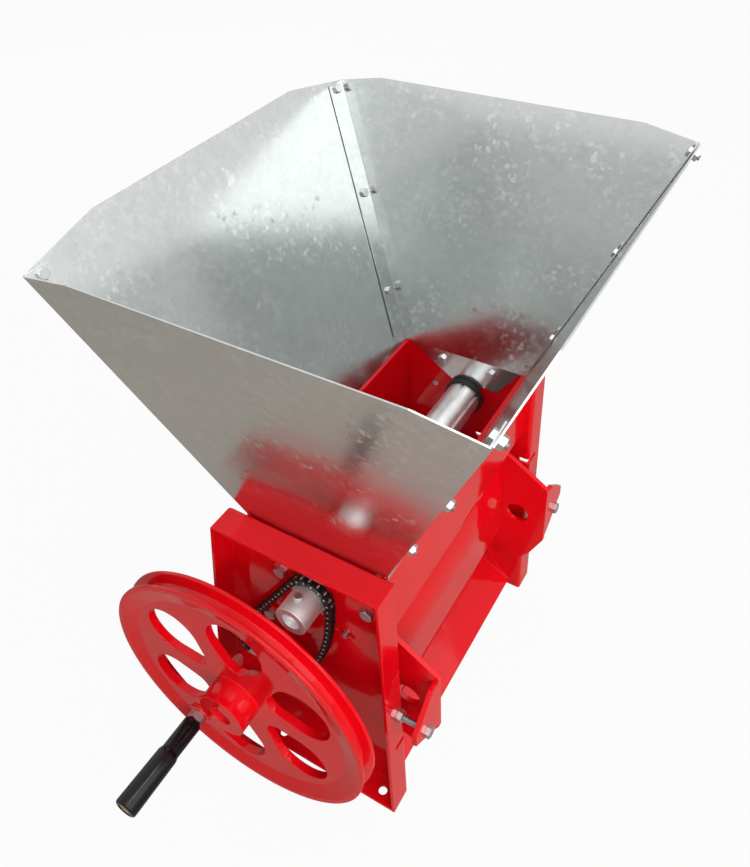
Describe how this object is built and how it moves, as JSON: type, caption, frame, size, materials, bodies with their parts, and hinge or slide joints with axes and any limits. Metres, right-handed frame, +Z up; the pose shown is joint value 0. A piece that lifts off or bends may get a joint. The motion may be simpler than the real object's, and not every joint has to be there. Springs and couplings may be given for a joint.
{
  "type": "coffee huller",
  "caption": "Hand-cranked coffee huller: flared sheet hopper, windowed belt flywheel with turning grip, chain-driven feed roller, drum and screw-adjusted breast over a chute.",
  "frame": {"origin": "on the floor, in the middle of the four base bolts", "axes": "+Z up, +X towards the discharge side, -Y towards the wheel and crank"},
  "size_m": [0.464, 0.6291, 0.727],
  "materials": {
    "red_paint": "gloss",
    "galvanised_sheet": "spangled zinc",
    "grey_iron": "satin",
    "bare_steel": "turned",
    "dark_chain": "oiled",
    "black_grip": "gloss",
    "black_rubber": "matte",
    "yellow_zinc": "passivated",
    "zinc_fastener": "bright zinc"
  },
  "bodies": {
    "frame": {"near_end_plate": "red_paint", "far_end_plate": "red_paint", "front_cross_bar": "red_paint", "rear_throat_plate": "red_paint", "rear_tie_bar": "red_paint", "discharge_chute": "red_paint", "chute_bolts": "zinc_fastener", "chute_nuts": "zinc_fastener", "hopper_near_panel": "galvanised_sheet", "hopper_far_panel": "galvanised_sheet", "hopper_rear_panel": "galvanised_sheet", "hopper_front_panel": "galvanised_sheet", "hopper_seam_bolts": "zinc_fastener", "hopper_seam_nuts": "zinc_fastener", "hopper_seat_bolts": "zinc_fastener", "hopper_seat_nuts": "zinc_fastener", "near_main_bearing": "red_paint", "far_main_bearing": "red_paint", "near_feed_bearing": "red_paint", "far_feed_bearing": "red_paint", "bearing_bolts": "zinc_fastener", "bearing_nuts": "zinc_fastener", "adjuster_weld_nuts": "zinc_fastener", "drive_chain": "dark_chain"},
    "rotor": {"main_shaft": "bare_steel", "drum_tube": "grey_iron", "drum_end_discs": "grey_iron", "drum_sleeve": "bare_steel", "shaft_collar": "bare_steel", "flywheel_pulley": "red_paint", "flywheel_key": "bare_steel", "drive_sprocket": "bare_steel", "drive_set_screw": "zinc_fastener", "crank_spindle": "yellow_zinc", "crank_nuts": "zinc_fastener"},
    "grip": {"crank_grip": "black_grip"},
    "feed_rotor": {"feed_shaft": "bare_steel", "feed_roller": "bare_steel", "feed_end_rings": "black_rubber", "feed_sprocket": "bare_steel", "feed_set_screw": "zinc_fastener"},
    "breast": {"breast_concave": "grey_iron", "breast_skin": "red_paint", "near_breast_bracket": "red_paint", "far_breast_bracket": "red_paint", "breast_guide_pins": "zinc_fastener"},
    "near_adjuster": {"near_adjuster_bolt": "zinc_fastener", "near_adjuster_locknut": "zinc_fastener"},
    "far_adjuster": {"far_adjuster_bolt": "zinc_fastener", "far_adjuster_locknut": "zinc_fastener"}
  },
  "joints": [
    {"name": "main_shaft_spin", "type": "hinge", "parent": "frame", "child": "rotor", "pos_m": [-0.0645, 0, 0.202], "axis": [0, 1, 0], "continuous": true, "deforming": ["drive_chain"]},
    {"name": "feed_roller_spin", "type": "hinge", "parent": "frame", "child": "feed_rotor", "pos_m": [0.0075, 0, 0.352], "axis": [0, 1, 0], "continuous": true},
    {"name": "grip_spin", "type": "hinge", "parent": "rotor", "child": "grip", "pos_m": [-0.14091, -0.32, 0.09683], "axis": [0, 1, 0], "continuous": true},
    {"name": "breast_slide", "type": "slide", "parent": "frame", "child": "breast", "axis": [1, 0, 0], "range_m": [-0.003, 0.003]},
    {"name": "near_adjuster_turn", "type": "hinge", "parent": "breast", "child": "near_adjuster", "pos_m": [0.12, -0.179, 0.191], "axis": [1, 0, 0], "range_deg": [-870, 870]},
    {"name": "far_adjuster_turn", "type": "hinge", "parent": "breast", "child": "far_adjuster", "pos_m": [0.12, 0.179, 0.191], "axis": [1, 0, 0], "range_deg": [-870, 870]}
  ],
  "couplings": [
    {"joint": "feed_roller_spin", "follows": "main_shaft_spin", "ratio": 2},
    {"joint": "near_adjuster_turn", "follows": "breast_slide", "rad_per_m": 5026.5},
    {"joint": "far_adjuster_turn", "follows": "breast_slide", "rad_per_m": 5026.5}
  ]
}
